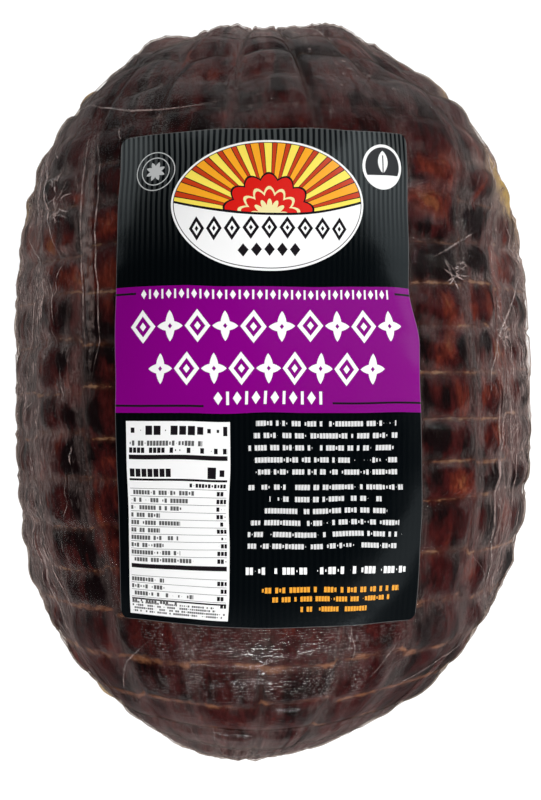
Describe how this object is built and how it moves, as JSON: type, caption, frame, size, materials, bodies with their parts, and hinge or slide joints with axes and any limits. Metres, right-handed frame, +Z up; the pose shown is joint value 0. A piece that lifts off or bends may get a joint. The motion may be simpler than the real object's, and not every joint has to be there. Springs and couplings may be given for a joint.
{
  "type": "black forest ham in a vacuum pack",
  "caption": "Whole boneless smoked ham with net marks, dark outside, shrink-wrapped in clear film, lying on its back with a large paper label on top.",
  "frame": {"origin": "on the floor under the middle of the bounding box", "axes": "+Y along the ham to its gathered end with the dimple, +Z up through the label, +X across the ham to the reader's right when the label is read from above"},
  "size_m": [0.225, 0.317, 0.1574],
  "materials": {
    "wrapped_ham": "dark smoked meat, nearly black to mahogany, with tan net marks, under tight clear film",
    "label": "glossy printed paper, black with a purple band, a white panel and a small picture"
  },
  "bodies": {
    "root": {"wrapped_ham": "wrapped_ham", "label": "label"}
  },
  "joints": []
}
